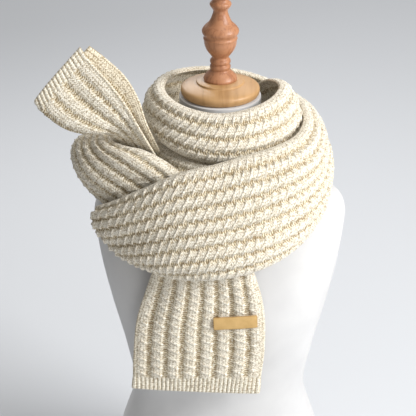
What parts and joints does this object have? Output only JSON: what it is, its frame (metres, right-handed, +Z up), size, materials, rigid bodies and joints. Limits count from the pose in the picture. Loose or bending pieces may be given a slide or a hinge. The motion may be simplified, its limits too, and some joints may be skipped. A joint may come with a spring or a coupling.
{
  "type": "knit scarf on a dress form",
  "caption": "Chunky ribbed cream knit scarf wound round the neck of a limbless dress form, one end hanging in front, one standing out at the shoulder, bare leather label.",
  "frame": {"origin": "under the middle of the dress form's flat foot, on the axis of its neck", "axes": "+Z up, the form's front faces -Y, the scarf's standing end is on the -X side"},
  "size_m": [0.4382, 0.3132, 0.8603],
  "materials": {
    "cream_knit": "marled cream and tan wool, chunky rope ribs, soft nap",
    "tan_leather": "smooth tan leather, bare, stitched on",
    "form_jersey": "pale grey-white fine jersey over a firm form",
    "cap_wood": "pale turned wood, satin",
    "finial_wood": "warm reddish turned wood, satin"
  },
  "bodies": {
    "root": {"front_tail": "cream_knit", "left_fold": "cream_knit", "back_inner": "cream_knit", "neck_wrap": "cream_knit", "back_outer": "cream_knit", "outer_wrap": "cream_knit", "under_stretch": "cream_knit", "side_tail": "cream_knit", "leather_label": "tan_leather", "form_torso": "form_jersey", "neck_cap": "cap_wood", "finial": "finial_wood"}
  },
  "joints": []
}
